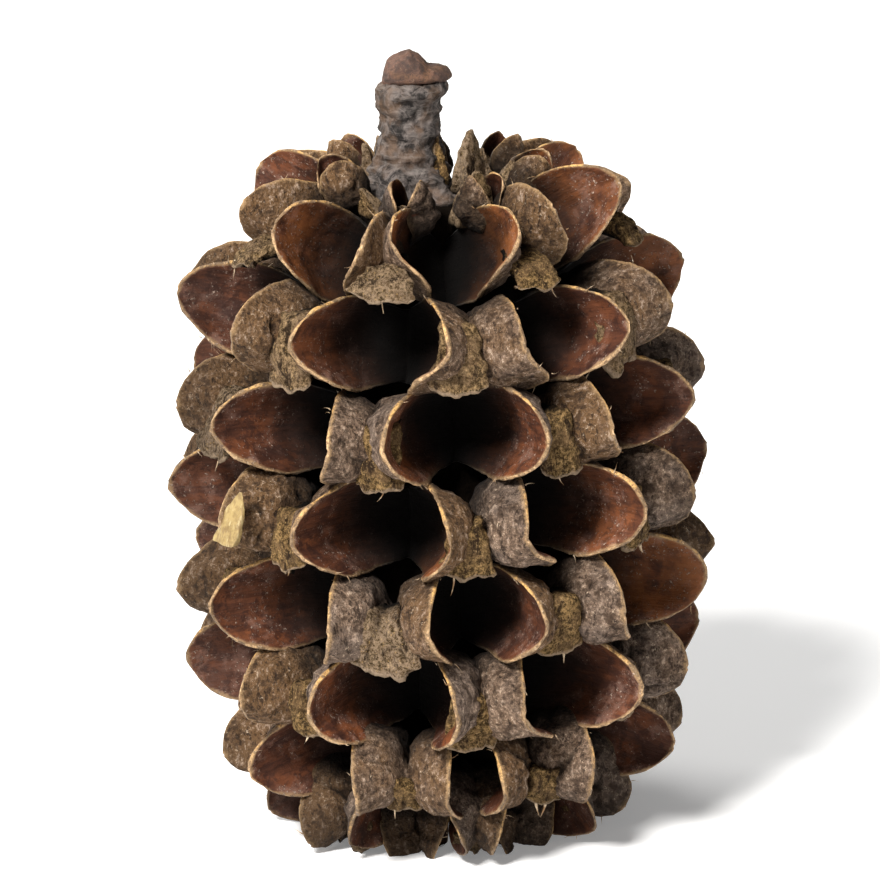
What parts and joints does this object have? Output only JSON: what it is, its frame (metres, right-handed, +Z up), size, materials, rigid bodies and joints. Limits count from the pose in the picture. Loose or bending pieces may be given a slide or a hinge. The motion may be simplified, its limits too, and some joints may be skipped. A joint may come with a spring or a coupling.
{
  "type": "casuarina cone",
  "caption": "Small woody casuarina cone standing upright: whorls of open two-valved cups round a barrel-shaped body, with a short broken stalk on top.",
  "frame": {"origin": "the middle of the bounding box, at the height of the lowest tips, which the cone stands on", "axes": "+Z is up along the cone, towards the stalk; -Y faces the viewer of the picture and +X is to their right"},
  "size_m": [0.018, 0.018, 0.0266],
  "materials": {
    "wood": "matte",
    "bark": "matte"
  },
  "bodies": {
    "root": {"cone": "wood", "stalk": "bark"}
  },
  "joints": []
}
